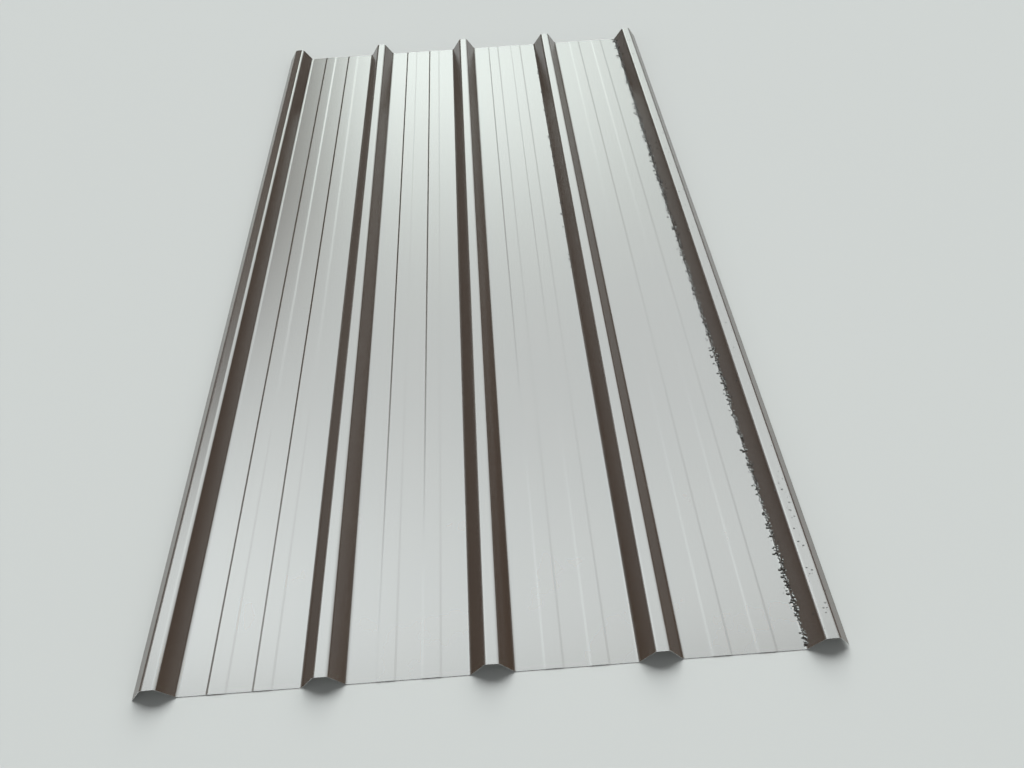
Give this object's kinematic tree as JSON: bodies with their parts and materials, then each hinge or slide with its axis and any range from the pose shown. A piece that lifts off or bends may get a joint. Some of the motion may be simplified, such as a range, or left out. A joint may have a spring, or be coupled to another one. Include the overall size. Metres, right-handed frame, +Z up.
{
  "type": "box profile roofing sheet",
  "caption": "Dark brown coated steel roofing sheet, roll-formed into trapezoidal ribs with flat swaged pans between.",
  "frame": {"origin": "middle of the sheet's footprint, on the floor that its pans rest on", "axes": "+X across the sheet towards the free edge that laps over the next sheet, +Y along the ribs, +Z up"},
  "size_m": [1.062, 2, 0.032],
  "materials": {
    "coated_steel": "dark brown polyester coating on galvanised steel, semi-gloss, grey backing coat underneath"
  },
  "bodies": {
    "root": {"roofing_sheet": "coated_steel"}
  },
  "joints": []
}
